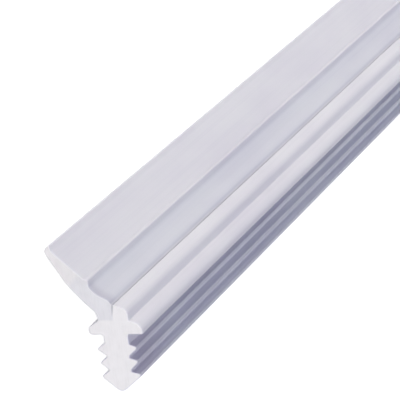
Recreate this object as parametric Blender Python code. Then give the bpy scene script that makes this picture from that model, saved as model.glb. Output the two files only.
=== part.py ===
"""Extruded window seal strip: barbed push-in foot, shouldered head and one broad curved lip.

The section is drawn with the foot hanging down: x across the strip, z up, zero at the bottom of the foot.
The strip is then laid over onto its lip and its foot, the way it rests on a level floor, along Y."""

import math

import bpy

STRIP_LENGTH = 1.0

# Foot: a stem with barbs on both sides, the last pair forming the arrow tip; its two sides differ a little
STEM_WIDTH = 0.00308
BARB_ROOT_WIDTH = 0.00280
FOOT_DEPTH = 0.00702
BARB_PITCH = 0.00170
FIRST_BARB_DROP = 0.00169
LEFT_UPPER_REACH = 0.00248
LEFT_MIDDLE_REACH = 0.00235
LEFT_ARROW_REACH = 0.00238
LEFT_BARB_SAG = 0.00010
LEFT_BARB_RISE = 0.00076
LEFT_BARB_EDGE = 0.00013
LEFT_BARB_ROUND = 0.00010
LEFT_NOTCH_ROUND = 0.00018
RIGHT_UPPER_REACH = 0.00238
RIGHT_MIDDLE_REACH = 0.00230
RIGHT_ARROW_REACH = 0.00246
RIGHT_BARB_RISE = 0.00045
RIGHT_BARB_EDGE = 0.00030
RIGHT_BARB_ROUND = 0.00015
RIGHT_NOTCH_FLAT = 0.00030
RIGHT_NOTCH_ROUND = 0.00010
STEM_FILLET = 0.00018
TIP_X = -0.00021
TIP_DEPTH = 0.00031
TIP_ROUND = 0.0010

# Head: two shoulders, the right one domed with its seat outside the barbs, and the ridge beside the lip
HEAD_WIDTH = 0.0038
HEAD_FILLET = 0.00012
SHOULDER_HEIGHT = 0.00172
LEFT_REACH = 0.00330
LEFT_EDGE = 0.00093
LEFT_TOP_ROUND = 0.00036
LEFT_FOOT_ROUND = 0.00050
LEFT_STEM_FILLET = 0.00040
RIGHT_REACH = 0.00346
RIGHT_EDGE = 0.00074
RIGHT_CROWN_RUN = 0.00105
RIGHT_CROWN_FALL = 0.00034
RIGHT_DOME_ROUND = 0.0012
RIGHT_ROUND = 0.00020
SEAT_CLEARANCE = 0.00012
SEAT_RELIEF = 0.00003
RIDGE_HEIGHT = 0.00190
RIDGE_FALL = 0.00055
RIDGE_ROUND = 0.00076

# Slit between the ridge and the root of the lip
SLIT_X = 0.00011
SLIT_LEAN = 0.00020
SLIT_WIDTH = 0.00006
SLIT_DEPTH = 0.0014
EDGE_ROUND = 0.00007

# Root of the lip: the crest beside the slit, the trough, and the step up to the sealing face
CREST_RUN = 0.00040
CREST_RISE = 0.00256
CREST_ROUND = 0.00125
TROUGH_RUN = 0.00137
TROUGH_RISE = 0.00066
TROUGH_ROUND = 0.0030
STEP_RUN = 0.00082
STEP_RISE = 0.00095
STEP_FOOT_ROUND = 0.00082
STEP_HEIGHT = 0.00088
STEP_LAND = 0.00048
STEP_ROUND = 0.00040
ROOT_SWELL = 0.00027
ROOT_RISE = 0.00103
ROOT_ROUND = 0.00105
NECK_FILLET = 0.00045

# Blade of the lip: flat sealing face, back that thins towards the end, end turned up
FACE_LENGTH = 0.00507
FACE_LEAN = math.radians(45.7)
ROOT_THICKNESS = 0.00230
ROOT_THICKNESS_AT = -0.00166
BLADE_THICKNESS = 0.00209
BLADE_THICKNESS_AT = 0.00118
BACK_ROUND = 0.0080
TIP_THICKNESS = 0.00083
TIP_THICKNESS_AT = 0.00039
UPTURN_RUN = 0.00080
UPTURN_RISE = 0.00043
UPTURN_ROUND = 0.00086
END_THICKNESS = 0.00054
END_ROUND = 0.00020
END_BACK_ROUND = 0.00050

ARC_STEP = math.radians(11)


def rounded(corners):
    """Outline through (x, z, radius) corners, each turned with an arc that fits its two sides."""
    points = []
    count = len(corners)
    for index, (x, z, radius) in enumerate(corners):
        before = corners[index - 1]
        after = corners[(index + 1) % count]
        reach_before = math.hypot(before[0] - x, before[1] - z)
        reach_after = math.hypot(after[0] - x, after[1] - z)
        a = ((before[0] - x) / reach_before, (before[1] - z) / reach_before)
        b = ((after[0] - x) / reach_after, (after[1] - z) / reach_after)
        angle = math.acos(max(-1.0, min(1.0, a[0] * b[0] + a[1] * b[1])))
        tangent = min(radius / math.tan(angle / 2), 0.48 * reach_before, 0.48 * reach_after)
        if tangent < 2e-5:
            points.append((x, z))
            continue
        middle = (a[0] + b[0], a[1] + b[1])
        scale = tangent / math.cos(angle / 2) / math.hypot(*middle)
        centre = (x + middle[0] * scale, z + middle[1] * scale)
        start = (x + a[0] * tangent - centre[0], z + a[1] * tangent - centre[1])
        turn = math.copysign(math.pi - angle, b[0] * a[1] - b[1] * a[0])
        steps = max(2, math.ceil(abs(turn) / ARC_STEP))
        for step in range(steps + 1):
            c = math.cos(turn * step / steps)
            s = math.sin(turn * step / steps)
            points.append((centre[0] + start[0] * c - start[1] * s, centre[1] + start[0] * s + start[1] * c))
    return points


def barbs(side, reaches, sag, rise, edge, flat, barb_round, notch_round):
    """Corners of one side of the foot, from the arrow tip up to the stem; flat is the notch's straight root."""
    corners = []
    for number in reversed(range(len(reaches))):
        level = FOOT_DEPTH - FIRST_BARB_DROP - sag - number * BARB_PITCH
        corners.append((side * reaches[number], level - edge / 2, barb_round))
        corners.append((side * reaches[number], level + edge / 2, barb_round))
        if number > 0:
            corners.append((side * BARB_ROOT_WIDTH / 2, level + rise, notch_round))
            if flat > 0:
                corners.append((side * BARB_ROOT_WIDTH / 2, level + rise + flat, notch_round))
    corners.append((side * STEM_WIDTH / 2, level + rise, STEM_FILLET))
    return corners


def section():
    """The whole outline, anticlockwise from the bottom of the foot."""
    head_base = FOOT_DEPTH + SHOULDER_HEIGHT
    head_side = HEAD_WIDTH / 2
    ridge_top = head_base + RIDGE_HEIGHT
    slit_end = ridge_top - SLIT_DEPTH
    crest = (SLIT_X - CREST_RUN, head_base + CREST_RISE)
    trough = (crest[0] - TROUGH_RUN, crest[1] + TROUGH_RISE)
    step_foot = (trough[0] - STEP_RUN, trough[1] + STEP_RISE)
    step = (step_foot[0], step_foot[1] + STEP_HEIGHT)
    face_start = (step[0] - STEP_LAND, step[1])

    def on_lip(along, behind):
        """A point by its distance up the sealing face and its depth behind that face."""
        c = math.cos(FACE_LEAN)
        s = math.sin(FACE_LEAN)
        return face_start[0] - along * s - behind * c, face_start[1] + along * c - behind * s

    corners = [(TIP_X, -TIP_DEPTH, TIP_ROUND)]
    right_reaches = (RIGHT_UPPER_REACH, RIGHT_MIDDLE_REACH, RIGHT_ARROW_REACH)
    corners += barbs(1, right_reaches, 0.0, RIGHT_BARB_RISE, RIGHT_BARB_EDGE,
                     RIGHT_NOTCH_FLAT, RIGHT_BARB_ROUND, RIGHT_NOTCH_ROUND)
    corners += [
        (STEM_WIDTH / 2, FOOT_DEPTH + SEAT_RELIEF, STEM_FILLET),
        (RIGHT_ARROW_REACH + SEAT_CLEARANCE, FOOT_DEPTH, 0.0),
        (RIGHT_REACH, FOOT_DEPTH, RIGHT_ROUND),
        (RIGHT_REACH, FOOT_DEPTH + RIGHT_EDGE, RIGHT_DOME_ROUND),
        (head_side + RIGHT_CROWN_RUN, head_base - RIGHT_CROWN_FALL, RIGHT_DOME_ROUND),
        (head_side, head_base, HEAD_FILLET),
        (head_side, ridge_top - RIDGE_FALL, RIDGE_ROUND),
        (SLIT_X + SLIT_WIDTH / 2, ridge_top, EDGE_ROUND),
        (SLIT_X + SLIT_WIDTH / 2 - SLIT_LEAN, slit_end, 0.0),
        (SLIT_X - SLIT_WIDTH / 2 - SLIT_LEAN, slit_end, 0.0),
        (SLIT_X - SLIT_WIDTH / 2, ridge_top, EDGE_ROUND),
        (*crest, CREST_ROUND),
        (*trough, TROUGH_ROUND),
        (*step_foot, STEP_FOOT_ROUND),
        (*step, STEP_ROUND),
        (*face_start, STEP_ROUND),
        (*on_lip(FACE_LENGTH, 0.0), UPTURN_ROUND),
        (*on_lip(FACE_LENGTH + UPTURN_RUN, -UPTURN_RISE), END_ROUND),
        (*on_lip(FACE_LENGTH + UPTURN_RUN, END_THICKNESS), END_BACK_ROUND),
        (*on_lip(FACE_LENGTH + TIP_THICKNESS_AT, TIP_THICKNESS), END_BACK_ROUND),
        (*on_lip(BLADE_THICKNESS_AT, BLADE_THICKNESS), BACK_ROUND),
        (*on_lip(ROOT_THICKNESS_AT, ROOT_THICKNESS), BACK_ROUND),
        (-head_side - ROOT_SWELL, head_base + ROOT_RISE, ROOT_ROUND),
        (-head_side, head_base, NECK_FILLET),
        (-LEFT_REACH, FOOT_DEPTH + LEFT_EDGE, LEFT_TOP_ROUND),
        (-LEFT_REACH, FOOT_DEPTH, LEFT_FOOT_ROUND),
        (-STEM_WIDTH / 2, FOOT_DEPTH, LEFT_STEM_FILLET),
    ]
    left_reaches = (LEFT_UPPER_REACH, LEFT_MIDDLE_REACH, LEFT_ARROW_REACH)
    corners += reversed(barbs(-1, left_reaches, LEFT_BARB_SAG, LEFT_BARB_RISE, LEFT_BARB_EDGE,
                              0.0, LEFT_BARB_ROUND, LEFT_NOTCH_ROUND))
    return rounded(corners)


def lowest(outline, angle):
    """Height of the outline's lowest point once the section is turned anticlockwise."""
    return min(x * math.sin(angle) + z * math.cos(angle) for x, z in outline)


def resting(outline):
    """The outline turned until lip and foot touch the floor together, centred over the origin."""
    lip = [point for point in outline if point[1] > FOOT_DEPTH + SHOULDER_HEIGHT]
    foot = [point for point in outline if point[1] < FOOT_DEPTH]
    low = math.radians(30)
    high = math.radians(90)
    for _ in range(50):
        angle = (low + high) / 2
        if lowest(lip, angle) > lowest(foot, angle):
            low = angle
        else:
            high = angle
    c = math.cos(angle)
    s = math.sin(angle)
    turned = [(x * c - z * s, x * s + z * c) for x, z in outline]
    middle = (min(x for x, _ in turned) + max(x for x, _ in turned)) / 2
    floor = min(z for _, z in turned)
    return [(x - middle, z - floor) for x, z in turned]


for leftover in list(bpy.data.objects):
    bpy.data.objects.remove(leftover)

outline = resting(section())
curve = bpy.data.curves.new("seal_strip", "CURVE")
curve.dimensions = "2D"
curve.fill_mode = "BOTH"
curve.extrude = STRIP_LENGTH / 2
spline = curve.splines.new("POLY")
spline.points.add(len(outline) - 1)
for point, (x, z) in zip(spline.points, outline):
    point.co = (x, z, 0.0, 1.0)
spline.use_cyclic_u = True

material = bpy.data.materials.new("white soft PVC")
material.use_nodes = True
shader = material.node_tree.nodes["Principled BSDF"]
shader.inputs["Base Color"].default_value = (0.80, 0.79, 0.83, 1.0)
shader.inputs["Roughness"].default_value = 0.45
curve.materials.append(material)

strip = bpy.data.objects.new("seal_strip", curve)
strip.rotation_euler = (math.pi / 2, 0.0, 0.0)

parts = bpy.data.collections.new("window seal strip")
bpy.context.scene.collection.children.link(parts)
parts.objects.link(strip)
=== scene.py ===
import math

import bpy
from mathutils import Matrix, Vector


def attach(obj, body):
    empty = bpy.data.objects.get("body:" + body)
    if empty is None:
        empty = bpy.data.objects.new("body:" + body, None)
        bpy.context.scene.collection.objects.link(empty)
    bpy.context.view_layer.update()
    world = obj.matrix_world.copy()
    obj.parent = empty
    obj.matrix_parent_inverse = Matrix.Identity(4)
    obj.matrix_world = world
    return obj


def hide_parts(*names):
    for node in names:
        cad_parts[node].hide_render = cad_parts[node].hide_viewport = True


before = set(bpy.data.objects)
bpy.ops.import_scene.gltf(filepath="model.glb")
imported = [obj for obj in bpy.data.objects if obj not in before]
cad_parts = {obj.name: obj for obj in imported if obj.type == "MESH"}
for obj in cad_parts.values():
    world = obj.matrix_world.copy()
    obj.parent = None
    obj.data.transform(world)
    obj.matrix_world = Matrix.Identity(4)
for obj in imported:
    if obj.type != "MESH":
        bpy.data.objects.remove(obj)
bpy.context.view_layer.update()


# Seal strip
# One length of plasticised white PVC off a single die: a barbed foot that is pushed into the groove of a
# sash, a head with two shoulders and a ridge, and a broad lip that bends out against the frame.
# It is drawn as its section, foot down, extruded, cut square at both ends and laid on its lip and its foot.

# The strip's length, and the turn and the place that lay it on the floor, in metres
MM = 0.001
STRIP_LENGTH = 1.0
TURN = math.radians(71.607236)
LAID_AT = Vector((0.009652933, -0.5, 0.001693134))

# Foot, in millimetres from here on: a stem with three barbs a side, the lowest pair forming the arrow tip.
# Of each side: the barbs' reaches from the tip up, how far they sag, the rise from a barb to the root of
# the notch above it, a barb's blunt edge and a notch's straight root.
FOOT_DEPTH = 7.02
TIP = (-0.21, -0.31)
TIP_ROUND = 1.0
STEM_SIDE = 1.54
STEM_FILLET = 0.18
BARB_ROOT_SIDE = 1.40
BARB_PITCH = 1.70
ARROW_LEVEL = 1.93
LEFT_BARBS = {
    "reaches": (2.38, 2.35, 2.48),
    "sag": 0.10,
    "rise": 0.76,
    "edge": 0.13,
    "flat": 0.0,
    "barb_round": 0.10,
    "notch_round": 0.18,
}
RIGHT_BARBS = {
    "reaches": (2.46, 2.30, 2.38),
    "sag": 0.0,
    "rise": 0.45,
    "edge": 0.30,
    "flat": 0.30,
    "barb_round": 0.15,
    "notch_round": 0.10,
}

# Head: two shoulders, the right one domed with its seat outside the barbs, and the ridge
HEAD_BASE = 8.74
HEAD_SIDE = 1.90
HEAD_FILLET = 0.12
NECK_FILLET = 0.45
SEAT_START = 2.58
SEAT_RELIEF = 0.03
RIGHT_REACH = 3.46
RIGHT_EDGE = 0.74
RIGHT_ROUND = 0.20
RIGHT_CROWN_RUN = 1.05
RIGHT_CROWN_FALL = 0.34
RIGHT_DOME_ROUND = 1.2
LEFT_REACH = 3.30
LEFT_EDGE = 0.93
LEFT_TOP_ROUND = 0.36
LEFT_FOOT_ROUND = 0.50
LEFT_STEM_FILLET = 0.40
RIDGE_TOP = 10.64
RIDGE_FALL = 0.55
RIDGE_ROUND = 0.76

# Slit between the ridge and the root of the lip, nearly shut, so that it shows as a fine line
SLIT_END = 9.24
SLIT_TOP_X = 0.11
SLIT_END_X = -0.09
SLIT_TOP_HALF = 0.012
SLIT_END_HALF = 0.007
SLIT_EDGE_ROUND = 0.07

# Lip: crest, trough and step, then the flat sealing face, a back that thins upwards, and the turned-up end
CREST = (-0.29, 11.30)
CREST_ROUND = 1.25
TROUGH = (-1.66, 11.96)
TROUGH_ROUND = 3.0
STEP_FOOT = (-2.48, 12.91)
STEP_FOOT_ROUND = 0.82
STEP = (-2.48, 13.79)
STEP_ROUND = 0.40
FACE_START = (-2.96, 13.79)
FACE_LENGTH = 5.07
FACE_LEAN = math.radians(45.7)
UPTURN_RUN = 0.80
UPTURN_RISE = 0.43
UPTURN_ROUND = 0.86
END_THICKNESS = 0.54
END_ROUND = 0.20
END_BACK_ROUND = 0.50
TIP_THICKNESS = 0.83
TIP_THICKNESS_AT = 0.39
BLADE_THICKNESS = 2.09
BLADE_THICKNESS_AT = 1.18
ROOT_THICKNESS = 2.30
ROOT_THICKNESS_AT = -1.66
BACK_ROUND = 8.0
ROOT_SWELL = 0.27
ROOT_RISE = 1.03
ROOT_ROUND = 1.05


def on_lip(along, behind):
    """A point of the section by its distance up the sealing face and its depth behind that face."""
    c = math.cos(FACE_LEAN)
    s = math.sin(FACE_LEAN)
    return FACE_START[0] - along * s - behind * c, FACE_START[1] + along * c - behind * s


def barb_corners(side, reaches, sag, rise, edge, flat, barb_round, notch_round):
    """One side of the foot, from the arrow tip up to the stem."""
    corners = []
    for number, reach in enumerate(reaches):
        level = ARROW_LEVEL - sag + number * BARB_PITCH
        corners.append((side * reach, level - edge / 2, barb_round))
        corners.append((side * reach, level + edge / 2, barb_round))
        if number < len(reaches) - 1:
            corners.append((side * BARB_ROOT_SIDE, level + rise, notch_round))
            if flat > 0:
                corners.append((side * BARB_ROOT_SIDE, level + rise + flat, notch_round))
    corners.append((side * STEM_SIDE, level + rise, STEM_FILLET))
    return corners


# Each corner is its x, its z and the radius of its arc, anticlockwise from the bottom of the foot
slit_corners = [
    (SLIT_TOP_X + SLIT_TOP_HALF, RIDGE_TOP),
    (SLIT_END_X + SLIT_END_HALF, SLIT_END),
    (SLIT_END_X - SLIT_END_HALF, SLIT_END),
    (SLIT_TOP_X - SLIT_TOP_HALF, RIDGE_TOP),
]
section_corners = [
    (*TIP, TIP_ROUND),
    *barb_corners(1, **RIGHT_BARBS),
    (STEM_SIDE, FOOT_DEPTH + SEAT_RELIEF, STEM_FILLET),
    (SEAT_START, FOOT_DEPTH, 0.0),
    (RIGHT_REACH, FOOT_DEPTH, RIGHT_ROUND),
    (RIGHT_REACH, FOOT_DEPTH + RIGHT_EDGE, RIGHT_DOME_ROUND),
    (HEAD_SIDE + RIGHT_CROWN_RUN, HEAD_BASE - RIGHT_CROWN_FALL, RIGHT_DOME_ROUND),
    (HEAD_SIDE, HEAD_BASE, HEAD_FILLET),
    (HEAD_SIDE, RIDGE_TOP - RIDGE_FALL, RIDGE_ROUND),
    (*slit_corners[0], SLIT_EDGE_ROUND),
    (*slit_corners[1], 0.0),
    (*slit_corners[2], 0.0),
    (*slit_corners[3], SLIT_EDGE_ROUND),
    (*CREST, CREST_ROUND),
    (*TROUGH, TROUGH_ROUND),
    (*STEP_FOOT, STEP_FOOT_ROUND),
    (*STEP, STEP_ROUND),
    (*FACE_START, STEP_ROUND),
    (*on_lip(FACE_LENGTH, 0.0), UPTURN_ROUND),
    (*on_lip(FACE_LENGTH + UPTURN_RUN, -UPTURN_RISE), END_ROUND),
    (*on_lip(FACE_LENGTH + UPTURN_RUN, END_THICKNESS), END_BACK_ROUND),
    (*on_lip(FACE_LENGTH + TIP_THICKNESS_AT, TIP_THICKNESS), END_BACK_ROUND),
    (*on_lip(BLADE_THICKNESS_AT, BLADE_THICKNESS), BACK_ROUND),
    (*on_lip(ROOT_THICKNESS_AT, ROOT_THICKNESS), BACK_ROUND),
    (-HEAD_SIDE - ROOT_SWELL, HEAD_BASE + ROOT_RISE, ROOT_ROUND),
    (-HEAD_SIDE, HEAD_BASE, NECK_FILLET),
    (-LEFT_REACH, FOOT_DEPTH + LEFT_EDGE, LEFT_TOP_ROUND),
    (-LEFT_REACH, FOOT_DEPTH, LEFT_FOOT_ROUND),
    (-STEM_SIDE, FOOT_DEPTH, LEFT_STEM_FILLET),
    *reversed(barb_corners(-1, **LEFT_BARBS)),
]

# The most of a side that an arc may take, so that two arcs never meet
ARC_SHARE = 0.48


def fitting_radius(index):
    """The radius of a corner of the section, cut down where its two sides are too short for the arc."""
    x, z, radius = section_corners[index]
    before = Vector(section_corners[index - 1][:2]) - Vector((x, z))
    after = Vector(section_corners[(index + 1) % len(section_corners)][:2]) - Vector((x, z))
    half = before.angle(after) / 2
    room = ARC_SHARE * min(before.length, after.length)
    return min(radius / math.tan(half), room) * math.tan(half)


def fill(tree, node, inputs):
    """Fills a node's inputs, each with a value, a socket, or a node, for its first output in use."""
    for name, value in inputs.items():
        if isinstance(value, bpy.types.Node):
            value = next(output for output in value.outputs if output.enabled)
        if isinstance(value, bpy.types.NodeSocket):
            tree.links.new(value, node.inputs[name])
        else:
            node.inputs[name].default_value = value


def add_node(tree, kind, inputs=None, **settings):
    """Adds a node to a tree, with its settings and with its inputs filled."""
    node = tree.nodes.new(kind)
    for name, value in settings.items():
        setattr(node, name, value)
    fill(tree, node, inputs or {})
    return node


def linear(hex_colour):
    """An sRGB hex colour as linear RGBA."""
    channels = [int(hex_colour[i : i + 2], 16) / 255 for i in (1, 3, 5)]
    return [c / 12.92 if c <= 0.04045 else ((c + 0.055) / 1.055) ** 2.4 for c in channels] + [1.0]


def place_on_strip(tree):
    """The place on the strip in millimetres: X and Z as the section is drawn, Y along the strip."""
    place = add_node(tree, "ShaderNodeTexCoord").outputs["Object"]
    centred = {"Vector": place, "Location": LAID_AT, "Rotation": (0.0, -TURN, 0.0), "Scale": (MM, MM, MM)}
    return add_node(tree, "ShaderNodeMapping", centred, vector_type="TEXTURE")


def up_the_lip(tree, place):
    """Millimetres up the lip from the foot of its sealing face."""
    from_foot = {0: place, 1: (FACE_START[0], 0.0, FACE_START[1])}
    reached = add_node(tree, "ShaderNodeVectorMath", from_foot, operation="SUBTRACT")
    along_face = {0: reached, 1: (-math.sin(FACE_LEAN), 0.0, math.cos(FACE_LEAN))}
    return add_node(tree, "ShaderNodeVectorMath", along_face, operation="DOT_PRODUCT")


def grain(tree, place, size, stretch):
    """Noise with grains of a size in millimetres, drawn out along each axis whose stretch is under 1."""
    drawn_out = add_node(tree, "ShaderNodeVectorMath", {0: place, 1: stretch}, operation="MULTIPLY")
    noise = {"Vector": drawn_out, "Scale": 1.0 / size, "Detail": 3.0, "Roughness": 0.55}
    return add_node(tree, "ShaderNodeTexNoise", noise)


def share(tree, *limits, of=None):
    """From 0 to 1, how far a place is inside its limits. Each is a measure and its values at 0 and at 1."""
    for measure, at_none, at_all in limits:
        fade = {"Value": measure, "From Min": at_none, "From Max": at_all}
        inside = add_node(tree, "ShaderNodeMapRange", fade, interpolation_type="SMOOTHSTEP")
        if of is None:
            of = inside
        else:
            of = add_node(tree, "ShaderNodeMath", {0: of, 1: inside}, operation="MULTIPLY")
    return of


def hinge_share(tree, place, fade_start, fade_end):
    """Where the softer hinge lies: above the head and left of the slit, fading out up the lip."""
    parts = add_node(tree, "ShaderNodeSeparateXYZ", {"Vector": place}).outputs
    below_blade = (up_the_lip(tree, place), fade_end, fade_start)
    above_head = (parts["Z"], HEAD_BASE - 0.15, HEAD_BASE + 0.25)
    left_of_slit = (parts["X"], 0.06, -0.10)
    return share(tree, below_blade, above_head, left_of_slit)


def under_tints(tree, colour, tints):
    """A colour multiplied by tints, each a hex colour and the share of it that shows."""
    # Sockets 6 and 7 of a Mix node are its two colours
    for tint, shown in tints:
        mixed = {0: shown, 6: colour, 7: linear(tint)}
        colour = add_node(tree, "ShaderNodeMix", mixed, data_type="RGBA", blend_type="MULTIPLY")
    return colour


# Plasticised PVC, extruded: satin white with a breath of violet, bluer and greyer in the soft hinge beside
# the slit. Painted light makes the lip's thin end lighter, where light comes through. Painted shade makes
# the foot bluer and greyer close to the cuts, and a touch greyer along the step's edge, beside the slit, on
# the edges of the barbs and in the hinge close to the cuts, and darker under the cut edges that face down.
# The die leaves fine lines along the strip, drawn 0.2 mm apart because real ones are too fine to show, and
# the melt leaves a faint cloudiness, 10 mm across.
PVC_IOR = 1.53
DIE_LINE_SPACING = 0.2
DIE_LINE_DEPTH = 0.01
CLOUD_SIZE = 10.0
STEP_EDGE_AT = -0.24

extruded_pvc = bpy.data.materials.new("extruded soft white PVC")
extruded_pvc.use_nodes = True
tree = extruded_pvc.node_tree
place = place_on_strip(tree)
parts = add_node(tree, "ShaderNodeSeparateXYZ", {"Vector": place}).outputs
across = parts["X"]
height = parts["Z"]
up_lip = up_the_lip(tree, place)
past_step_edge = add_node(tree, "ShaderNodeMath", {0: up_lip, 1: STEP_EDGE_AT}, operation="SUBTRACT")
from_step_edge = add_node(tree, "ShaderNodeMath", {0: past_step_edge}, operation="ABSOLUTE")
from_middle = add_node(tree, "ShaderNodeMath", {0: across}, operation="ABSOLUTE")
to_far_cut = add_node(tree, "ShaderNodeMath", {0: STRIP_LENGTH / MM, 1: parts["Y"]}, operation="SUBTRACT")
to_cut = add_node(tree, "ShaderNodeMath", {0: parts["Y"], 1: to_far_cut}, operation="MINIMUM")
normal = add_node(tree, "ShaderNodeNewGeometry").outputs["Normal"]
facing_up = add_node(tree, "ShaderNodeSeparateXYZ", {"Vector": normal}).outputs["Z"]
die_lines = grain(tree, place, DIE_LINE_SPACING, (1.0, 0.002, 1.0))
cloud = grain(tree, place, CLOUD_SIZE, (1.0, 0.3, 1.0))

# Painted light: the lip's thin end is lighter, where light comes through it
thin_end = share(tree, (up_lip, 4.6, 5.4))
hinge = hinge_share(tree, place, -1.0, -0.3)
# Painted shade: a touch greyer along the step's edge
painted_step_edge_shade = share(tree, (from_step_edge, 0.44, 0.18))
# Painted shade: greyer in the crease beside the slit, on the ridge's top
near_ridge_top = (height, RIDGE_TOP - 0.5, RIDGE_TOP - 0.3)
painted_slit_crease_shade = share(tree, (across, -0.28, 0.0), (across, 0.14, 0.10), near_ridge_top)
foot = share(tree, (height, FOOT_DEPTH, FOOT_DEPTH - 0.5))
# Painted shade: the foot is greyer within a few millimetres of each cut
painted_foot_shade_near_cut = share(tree, (to_cut, 14.0, 3.0), of=foot)
# Painted shade: the edges of the barbs are a touch greyer, dimming their highlights
painted_barb_edge_shade = share(tree, (from_middle, 2.0, 2.2), of=foot)
in_die_lines = share(tree, (die_lines, 0.45, 0.75))
# Painted shade: the hinge is darker within a few millimetres of each cut
painted_hinge_shade_near_cut = share(tree, (to_cut, 2.4, 0.1), of=hinge)
# Painted shade: the skin close to a cut is darker where it faces down
painted_shade_under_cut_edge = share(tree, (to_cut, 0.30, 0.08), (facing_up, -0.05, -0.35))
in_cloud = share(tree, (cloud, 0.40, 0.70))
skin_colours = {0: thin_end, 6: linear("#ebe9ef"), 7: linear("#f3f1f5")}
skin_colour = add_node(tree, "ShaderNodeMix", skin_colours, data_type="RGBA")
skin_tints = (
    ("#f2f4f7", hinge),
    ("#f5f5f6", painted_step_edge_shade),
    ("#ededf0", painted_slit_crease_shade),
    # Painted shade: the foot is bluer, as in the blue shade where the barbs shade one another
    ("#f6f9fd", foot),
    ("#f4f0f5", painted_foot_shade_near_cut),
    ("#f2f2f3", painted_barb_edge_shade),
    ("#fcfcfd", in_die_lines),
    ("#e9e7ec", painted_hinge_shade_near_cut),
    ("#c2c4c2", painted_shade_under_cut_edge),
    ("#f9f8fb", in_cloud),
)
cloud_range = {"Value": cloud, "From Min": 0.3, "From Max": 0.7, "To Min": 0.38, "To Max": 0.48}
cloud_dullness = add_node(tree, "ShaderNodeMapRange", cloud_range, interpolation_type="SMOOTHSTEP")
line_range = {"Value": die_lines, "From Min": 0.3, "From Max": 0.7, "To Min": -0.02, "To Max": 0.03}
line_dullness = add_node(tree, "ShaderNodeMapRange", line_range, interpolation_type="SMOOTHSTEP")
line_relief = {"Strength": 0.08, "Distance": DIE_LINE_DEPTH * MM, "Height": die_lines}
skin_finish = {
    "Base Color": under_tints(tree, skin_colour, skin_tints),
    "Roughness": add_node(tree, "ShaderNodeMath", {0: cloud_dullness, 1: line_dullness}, operation="ADD"),
    "Normal": add_node(tree, "ShaderNodeBump", line_relief),
    "IOR": PVC_IOR,
    "Subsurface Weight": 0.3,
    "Subsurface Radius": (1.0, 0.9, 1.0),
    "Subsurface Scale": 0.6 * MM,
}
fill(tree, tree.nodes["Principled BSDF"], skin_finish)

# The same PVC where the shears went through it: duller, the hinge clearly bluer than the foot, the blade a
# little greyer, with a faint dark line of painted shade where the slit comes out. The shears drag fine
# lines from foot to head, drawn 0.25 mm apart because real ones are too fine to show.
DRAG_LINE_SPACING = 0.25
DRAG_LINE_DEPTH = 0.02
MOTTLE_SIZE = 1.25

cut_pvc = bpy.data.materials.new("sheared soft white PVC")
cut_pvc.use_nodes = True
tree = cut_pvc.node_tree
place = place_on_strip(tree)
parts = add_node(tree, "ShaderNodeSeparateXYZ", {"Vector": place}).outputs
drag_lines = grain(tree, place, DRAG_LINE_SPACING, (1.0, 0.0, 0.12))
mottle = grain(tree, place, MOTTLE_SIZE, (1.0, 0.0, 1.0))
slit_slope = (SLIT_TOP_X - SLIT_END_X) / (RIDGE_TOP - SLIT_END)
above_ridge = add_node(tree, "ShaderNodeMath", {0: parts["Z"], 1: RIDGE_TOP}, operation="SUBTRACT")
slit_line = {0: above_ridge, 1: slit_slope, 2: SLIT_TOP_X}
slit_middle = add_node(tree, "ShaderNodeMath", slit_line, operation="MULTIPLY_ADD")
right_of_slit = add_node(tree, "ShaderNodeMath", {0: parts["X"], 1: slit_middle}, operation="SUBTRACT")
from_slit = add_node(tree, "ShaderNodeMath", {0: right_of_slit}, operation="ABSOLUTE")
blade = share(tree, (parts["Z"], 12.6, 14.2))
hinge = hinge_share(tree, place, 0.6, 1.3)
# Painted shade: a faint dark line where the slit comes out on the cut face
painted_slit_shade = share(tree, (from_slit, 0.16, 0.02), (parts["Z"], SLIT_END - 0.1, RIDGE_TOP - 0.2))
in_drag_lines = share(tree, (drag_lines, 0.45, 0.75))
in_mottle = share(tree, (mottle, 0.40, 0.70))
cut_tints = (
    ("#f8f7f7", blade),
    ("#f4f5f8", hinge),
    ("#c4c4cc", painted_slit_shade),
    ("#fafafa", in_drag_lines),
    ("#fbfbfb", in_mottle),
)
drag_range = {"Value": drag_lines, "From Min": 0.3, "From Max": 0.7, "To Min": 0.55, "To Max": 0.68}
drag_relief = {"Strength": 0.2, "Distance": DRAG_LINE_DEPTH * MM, "Height": drag_lines}
cut_finish = {
    "Base Color": under_tints(tree, linear("#edebed"), cut_tints),
    "Roughness": add_node(tree, "ShaderNodeMapRange", drag_range, interpolation_type="SMOOTHSTEP"),
    "Normal": add_node(tree, "ShaderNodeBump", drag_relief),
    "IOR": PVC_IOR,
}
fill(tree, tree.nodes["Principled BSDF"], cut_finish)

# The section is a closed line of corners, each with the radius of its arc. At the cuts the slit takes only
# a tenth of the edge's rounding, because its walls would cross.
SLIT_EASE = 0.1

corner_count = len(section_corners)
section_line = bpy.data.meshes.new("strip_section")
section_line.from_pydata(
    [(x * MM, z * MM, 0.0) for x, z, _ in section_corners],
    [(i, (i + 1) % corner_count) for i in range(corner_count)],
    [],
)
corner_radius = section_line.attributes.new("corner_radius", "FLOAT", "POINT")
corner_radius.data.foreach_set("value", [fitting_radius(i) * MM for i in range(corner_count)])
cut_ease = section_line.attributes.new("cut_ease", "FLOAT", "POINT")
eases = [SLIT_EASE if (x, z) in slit_corners else 1.0 for x, z, _ in section_corners]
cut_ease.data.foreach_set("value", eases)
drawn_strip = bpy.data.objects.new("drawn_strip", section_line)
bpy.context.scene.collection.objects.link(drawn_strip)

# The extrusion rounds the section's corners, draws it out in rings with a hair of rounding at each cut,
# and lays it down
EDGE_STEPS = 3
MERGE_WITHIN = 0.0005
SQUARE_TO_STRIP = 0.999
SHARP_FROM = math.radians(35)

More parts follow.
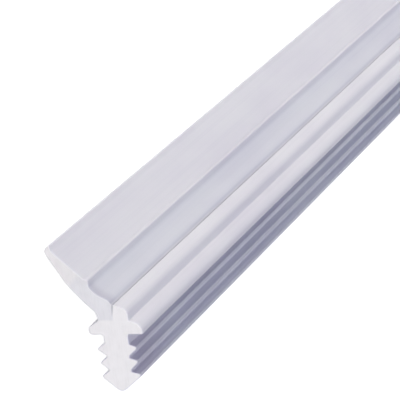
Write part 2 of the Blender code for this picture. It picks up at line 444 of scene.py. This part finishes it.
extrusion = bpy.data.node_groups.new("extruded_strip", "GeometryNodeTree")
extrusion.interface.new_socket("Section", in_out="INPUT", socket_type="NodeSocketGeometry")
extrusion_inputs = []
for name, kind, value in (
    ("Strip length", "NodeSocketFloat", STRIP_LENGTH),
    ("Corner segments", "NodeSocketInt", 10),
    ("Rings", "NodeSocketInt", 27),
    ("Cut edge radius", "NodeSocketFloat", 0.08 * MM),
    ("Turn", "NodeSocketFloat", TURN),
    ("Laid at", "NodeSocketVector", LAID_AT),
    ("Skin", "NodeSocketMaterial", extruded_pvc),
    ("Cut face", "NodeSocketMaterial", cut_pvc),
):
    socket = extrusion.interface.new_socket(name, in_out="INPUT", socket_type=kind)
    extrusion_inputs.append((socket.identifier, value))
extrusion.interface.new_socket("Strip", in_out="OUTPUT", socket_type="NodeSocketGeometry")
given = add_node(extrusion, "NodeGroupInput").outputs
strip_length = given["Strip length"]
edge_radius = given["Cut edge radius"]

outline = add_node(extrusion, "GeometryNodeMeshToCurve", {"Mesh": given["Section"]})
radius_name = {"Name": "corner_radius"}
radius = add_node(extrusion, "GeometryNodeInputNamedAttribute", radius_name, data_type="FLOAT")
arcs = {"Curve": outline, "Count": given["Corner segments"], "Radius": radius, "Limit Radius": True}
rounded = add_node(extrusion, "GeometryNodeFilletCurve", arcs, mode="POLY")
tangent = add_node(extrusion, "GeometryNodeInputTangent")
quarter_turn = {"Vector": tangent, "Angle": -math.pi / 2}
outward = add_node(extrusion, "ShaderNodeVectorRotate", quarter_turn, rotation_type="Z_AXIS")
to_store = {"Geometry": rounded, "Name": "outward", "Value": outward}
faced = add_node(extrusion, "GeometryNodeStoreNamedAttribute", to_store, data_type="FLOAT_VECTOR")

# Rings 0 to 3 turn the far cut's edge, the last four the near one's, and the rest run evenly between
# them. Each ring has its place along the strip and its inset from the full section.
ring = add_node(extrusion, "GeometryNodeInputIndex")
last_ring = add_node(extrusion, "ShaderNodeMath", {0: given["Rings"], 1: 1.0}, operation="SUBTRACT")
last_full_ring = add_node(extrusion, "ShaderNodeMath", {0: last_ring, 1: EDGE_STEPS}, operation="SUBTRACT")
far_rings = {"Value": ring, "From Min": 0.0, "From Max": EDGE_STEPS, "To Max": math.pi / 2}
far_turn = add_node(extrusion, "ShaderNodeMapRange", far_rings)
near_rings = {"Value": ring, "From Min": last_full_ring, "From Max": last_ring, "To Max": math.pi / 2}
near_turn = add_node(extrusion, "ShaderNodeMapRange", near_rings)
both_edges = add_node(extrusion, "ShaderNodeMath", {0: edge_radius, 1: 2.0}, operation="MULTIPLY")
straight = add_node(extrusion, "ShaderNodeMath", {0: strip_length, 1: both_edges}, operation="SUBTRACT")
full_rings = {"Value": ring, "From Min": EDGE_STEPS, "From Max": last_full_ring, "To Max": straight}
run_out = add_node(extrusion, "ShaderNodeMapRange", full_rings)
first_full = add_node(extrusion, "ShaderNodeMath", {0: strip_length, 1: edge_radius}, operation="SUBTRACT")
full_place = add_node(extrusion, "ShaderNodeMath", {0: first_full, 1: run_out}, operation="SUBTRACT")
far_cosine = add_node(extrusion, "ShaderNodeMath", {0: far_turn}, operation="COSINE")
near_sine = add_node(extrusion, "ShaderNodeMath", {0: near_turn}, operation="SINE")
turned = add_node(extrusion, "ShaderNodeMath", {0: far_cosine, 1: near_sine}, operation="SUBTRACT")
edge_place = add_node(extrusion, "ShaderNodeMath", {0: edge_radius, 1: turned}, operation="MULTIPLY")
along = add_node(extrusion, "ShaderNodeMath", {0: full_place, 1: edge_place}, operation="ADD")
ring_place = add_node(extrusion, "ShaderNodeCombineXYZ", {"Y": along})
far_sine = add_node(extrusion, "ShaderNodeMath", {0: far_turn}, operation="SINE")
near_cosine = add_node(extrusion, "ShaderNodeMath", {0: near_turn}, operation="COSINE")
fullness = add_node(extrusion, "ShaderNodeMath", {0: far_sine, 1: near_cosine}, operation="ADD")
short_of_full = add_node(extrusion, "ShaderNodeMath", {0: 2.0, 1: fullness}, operation="SUBTRACT")
inset = add_node(extrusion, "ShaderNodeMath", {0: edge_radius, 1: short_of_full}, operation="MULTIPLY")

start = add_node(extrusion, "ShaderNodeCombineXYZ", {"Y": strip_length})
run = add_node(extrusion, "GeometryNodeCurvePrimitiveLine", {"Start": start, "End": (0.0, 0.0, 0.0)})
rings = add_node(extrusion, "GeometryNodeResampleCurve", {"Curve": run, "Count": given["Rings"]})
to_store = {"Geometry": rings, "Name": "inset", "Value": inset}
inset_rings = add_node(extrusion, "GeometryNodeStoreNamedAttribute", to_store, data_type="FLOAT")
to_place = {"Geometry": inset_rings, "Position": ring_place}
placed_rings = add_node(extrusion, "GeometryNodeSetPosition", to_place)
sweep = {"Curve": placed_rings, "Profile Curve": faced, "Fill Caps": True}
swept = add_node(extrusion, "GeometryNodeCurveToMesh", sweep)

# Near the cuts the skin moves inwards by the ring's inset
outward_name = {"Name": "outward"}
facing = add_node(extrusion, "GeometryNodeInputNamedAttribute", outward_name, data_type="FLOAT_VECTOR")
facing_parts = add_node(extrusion, "ShaderNodeSeparateXYZ", {"Vector": facing}).outputs
inset_here = add_node(extrusion, "GeometryNodeInputNamedAttribute", {"Name": "inset"}, data_type="FLOAT")
ease = add_node(extrusion, "GeometryNodeInputNamedAttribute", {"Name": "cut_ease"}, data_type="FLOAT")
depth = add_node(extrusion, "ShaderNodeMath", {0: inset_here, 1: ease}, operation="MULTIPLY")
sideways = add_node(extrusion, "ShaderNodeMath", {0: facing_parts["X"], 1: depth}, operation="MULTIPLY")
upwards = add_node(extrusion, "ShaderNodeMath", {0: facing_parts["Y"], 1: depth}, operation="MULTIPLY")
inwards = add_node(extrusion, "ShaderNodeCombineXYZ", {"X": sideways, "Z": upwards})
eased = add_node(extrusion, "GeometryNodeSetPosition", {"Geometry": swept, "Offset": inwards})
to_merge = {"Geometry": eased, "Distance": MERGE_WITHIN * MM}
merged = add_node(extrusion, "GeometryNodeMergeByDistance", to_merge)
half_turn_less = add_node(extrusion, "ShaderNodeMath", {0: math.pi, 1: given["Turn"]}, operation="SUBTRACT")
turn_down = add_node(extrusion, "ShaderNodeCombineXYZ", {"Y": half_turn_less})
to_lay = {"Geometry": merged, "Translation": given["Laid at"], "Rotation": turn_down}
laid = add_node(extrusion, "GeometryNodeTransform", to_lay)

# Cut faces are the ones square to the strip. The skin is smooth up to its sharp corners.
normal = add_node(extrusion, "GeometryNodeInputNormal")
normal_along = add_node(extrusion, "ShaderNodeSeparateXYZ", {"Vector": normal}).outputs["Y"]
squareness = add_node(extrusion, "ShaderNodeMath", {0: normal_along}, operation="ABSOLUTE")
to_test = {0: squareness, 1: SQUARE_TO_STRIP}
is_cut = add_node(extrusion, "ShaderNodeMath", to_test, operation="GREATER_THAN")
is_skin = add_node(extrusion, "ShaderNodeMath", to_test, operation="LESS_THAN")
to_smooth = {"Geometry": laid, "Shade Smooth": is_skin}
smooth_skin = add_node(extrusion, "GeometryNodeSetShadeSmooth", to_smooth)
edge_angle = add_node(extrusion, "GeometryNodeInputMeshEdgeAngle")
is_sharp = add_node(extrusion, "ShaderNodeMath", {0: edge_angle, 1: SHARP_FROM}, operation="GREATER_THAN")
sharp_edges = {"Geometry": smooth_skin, "Selection": is_sharp, "Shade Smooth": False}
shaded = add_node(extrusion, "GeometryNodeSetShadeSmooth", sharp_edges, domain="EDGE")
real = add_node(extrusion, "GeometryNodeRealizeInstances", {"Geometry": shaded})
skinned = add_node(extrusion, "GeometryNodeSetMaterial", {"Geometry": real, "Material": given["Skin"]})
cut_faces = {"Geometry": skinned, "Selection": is_cut, "Material": given["Cut face"]}
cut_faced = add_node(extrusion, "GeometryNodeSetMaterial", cut_faces)
add_node(extrusion, "NodeGroupOutput", {"Strip": cut_faced})

modifier = drawn_strip.modifiers.new("extruded_strip", "NODES")
modifier.node_group = extrusion
for identifier, value in extrusion_inputs:
    modifier[identifier] = value

# Flat faces keep their own shade beside the small arcs
even_shade = drawn_strip.modifiers.new("even_shade", "WEIGHTED_NORMAL")
even_shade.mode = "FACE_AREA"
even_shade.keep_sharp = True

drawn = drawn_strip.evaluated_get(bpy.context.evaluated_depsgraph_get())
strip_mesh = bpy.data.meshes.new_from_object(drawn)
strip_mesh.name = "strip"
bpy.data.objects.remove(drawn_strip)
strip = bpy.data.objects.new("strip", strip_mesh)
bpy.context.scene.collection.objects.link(strip)
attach(strip, "root")
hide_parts("seal_strip")


# Floor
# A level floor in matte white paint, with the strip lying on it unheld. It shows as pure white with the
# strip's soft shadow on it, but gives the strip no more light than the paint throws back.
FLOOR_REACH = 15


def seen_share(tree):
    """1 for a ray from the camera, off a gloss or through something clear, and 0 for one that lights."""
    ray = add_node(tree, "ShaderNodeLightPath").outputs
    straight_or_gloss = {0: ray["Is Camera Ray"], 1: ray["Is Glossy Ray"]}
    seen = add_node(tree, "ShaderNodeMath", straight_or_gloss, operation="MAXIMUM")
    return add_node(tree, "ShaderNodeMath", {0: seen, 1: ray["Is Transmission Ray"]}, operation="MAXIMUM")


floor_paint = bpy.data.materials.new("matte white floor")
floor_paint.use_nodes = True
tree = floor_paint.node_tree
tree.nodes.clear()
paint = add_node(tree, "ShaderNodeBsdfDiffuse", {"Color": linear("#f2f2f2")})
glow = add_node(tree, "ShaderNodeEmission", {"Color": linear("#ffffff"), "Strength": 0.85})
both = add_node(tree, "ShaderNodeAddShader", {0: paint, 1: glow})
shown = add_node(tree, "ShaderNodeMixShader", {0: seen_share(tree), 1: paint, 2: both})
add_node(tree, "ShaderNodeOutputMaterial", {"Surface": shown})
floor_mesh = bpy.data.meshes.new("floor")
floor_corners = [(x * FLOOR_REACH, y * FLOOR_REACH, 0) for x, y in ((-1, -1), (1, -1), (1, 1), (-1, 1))]
floor_mesh.from_pydata(floor_corners, [], [(0, 1, 2, 3)])
floor_mesh.materials.append(floor_paint)
floor = bpy.data.objects.new("floor", floor_mesh)
bpy.context.scene.collection.objects.link(floor)


# Light
# Broad soft lamps far off: one low on the lip's side, one low in front of the near cut, one high on the
# foot's side, and a weak one low behind the far cut, which gives no gloss. The room is dim and blue.
def soft_sun(name, azimuth, elevation, width, strength, colour):
    """A sun seen as a disc some degrees wide. The azimuth turns from the lip's side to the near cut."""
    lamp = bpy.data.lights.new(name, "SUN")
    lamp.angle = math.radians(width)
    lamp.energy = strength
    lamp.color = colour
    lit = bpy.data.objects.new(name, lamp)
    turn = math.radians(azimuth)
    rise = math.radians(elevation)
    to_lamp = Vector((-math.cos(turn) * math.cos(rise), -math.sin(turn) * math.cos(rise), math.sin(rise)))
    lit.rotation_euler = to_lamp.to_track_quat("Z", "Y").to_euler()
    bpy.context.scene.collection.objects.link(lit)
    return lit


soft_sun("side_lamp", 0, 24, 36, 1.90, (1.0, 0.98, 0.91))
soft_sun("front_lamp", 90, 9, 25, 2.05, (1.0, 0.99, 0.955))
soft_sun("foot_side_lamp", 180, 54, 30, 0.80, (0.95, 0.97, 1.0))
far_lamp = soft_sun("far_lamp", -90, 20, 30, 0.60, (0.95, 0.98, 1.0))
far_lamp.visible_glossy = False

world = bpy.data.worlds.new("pale room")
bpy.context.scene.world = world
world.use_nodes = True
tree = world.node_tree
tree.nodes.clear()
room = add_node(tree, "ShaderNodeBackground", {"Color": linear("#7c95ff"), "Strength": 0.08})
white = add_node(tree, "ShaderNodeBackground", {"Color": linear("#ffffff"), "Strength": 1.0})
shown = add_node(tree, "ShaderNodeMixShader", {0: seen_share(tree), 1: room, 2: white})
add_node(tree, "ShaderNodeOutputWorld", {"Surface": shown})


# Camera
# A long lens looks down on the near cut end from the lip's side. It is held on its side, because the strip
# lies here and stands foot down in the photograph. Its axes and place follow the photograph's perspective.
lens = bpy.data.cameras.new("camera")
lens.sensor_width = 36.0
lens.lens = 276.48
lens.clip_start = 0.01
lens.clip_end = 50.0
camera = bpy.data.objects.new("camera", lens)
right = Vector((0.416719, 0.330890, 0.846674))
up = Vector((-0.896817, 0.301842, 0.323436))
back = Vector((-0.148540, -0.894094, 0.422531))
stands_at = Vector((-0.0600654, -0.8116585, 0.1683745))
looking = Matrix((right, up, back)).transposed().to_4x4()
camera.matrix_world = Matrix.Translation(stands_at) @ looking
bpy.context.scene.collection.objects.link(camera)
bpy.context.scene.camera = camera
bpy.context.scene.view_settings.view_transform = "Standard"
